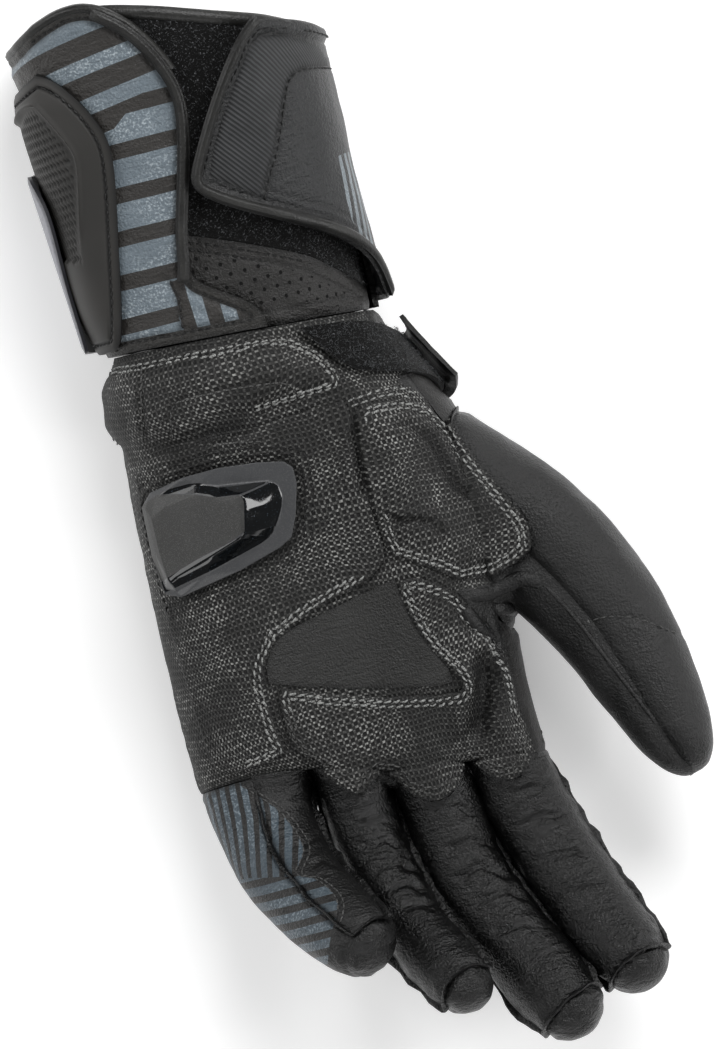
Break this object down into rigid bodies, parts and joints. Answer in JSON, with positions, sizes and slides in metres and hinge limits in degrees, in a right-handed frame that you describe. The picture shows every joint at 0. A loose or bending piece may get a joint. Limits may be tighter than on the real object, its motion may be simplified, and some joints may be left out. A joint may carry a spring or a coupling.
{
  "type": "motorcycle glove",
  "caption": "Left-hand leather motorcycle gauntlet glove lying palm up, with padded palm panels, a hard palm slider, a guarded cuff and a closure flap.",
  "frame": {"origin": "under the middle of the glove's bounding box, on the face of the hand's back that it rests on", "axes": "+Y from the fingertips to the cuff, +X towards the thumb side, +Z out of the palm"},
  "size_m": [0.1624, 0.356, 0.0772],
  "materials": {
    "leather": "satin",
    "grip": "textured",
    "striped": "printed stripes",
    "loop": "fuzzy loop",
    "rubber": "matte",
    "plastic": "satin with polished chamfers",
    "grey_plastic": "gloss"
  },
  "bodies": {
    "root": {"palm_leather": "grip", "thenar_pad": "grip", "hypothenar_panel": "grip", "grip_panel": "grip", "heel_patch": "grip", "hand_back": "leather", "thumb_inner": "leather", "thumb_outer": "leather", "index_front": "leather", "index_back": "leather", "middle_front": "leather", "middle_back": "leather", "ring_front": "leather", "ring_back": "leather", "little_front": "leather", "little_back": "leather", "palm_inset": "leather", "wrist_panel": "leather", "closure_tab": "leather", "cuff_binding": "leather", "tab_binding": "leather", "strap_end_tab": "leather", "little_side": "striped", "cuff_shell": "striped", "cuff_loop_panel": "loop", "wrist_strap": "loop", "closure_tab_grip": "rubber", "cuff_guard": "rubber", "palm_slider": "plastic", "cuff_guard_plate": "grey_plastic"}
  },
  "joints": []
}
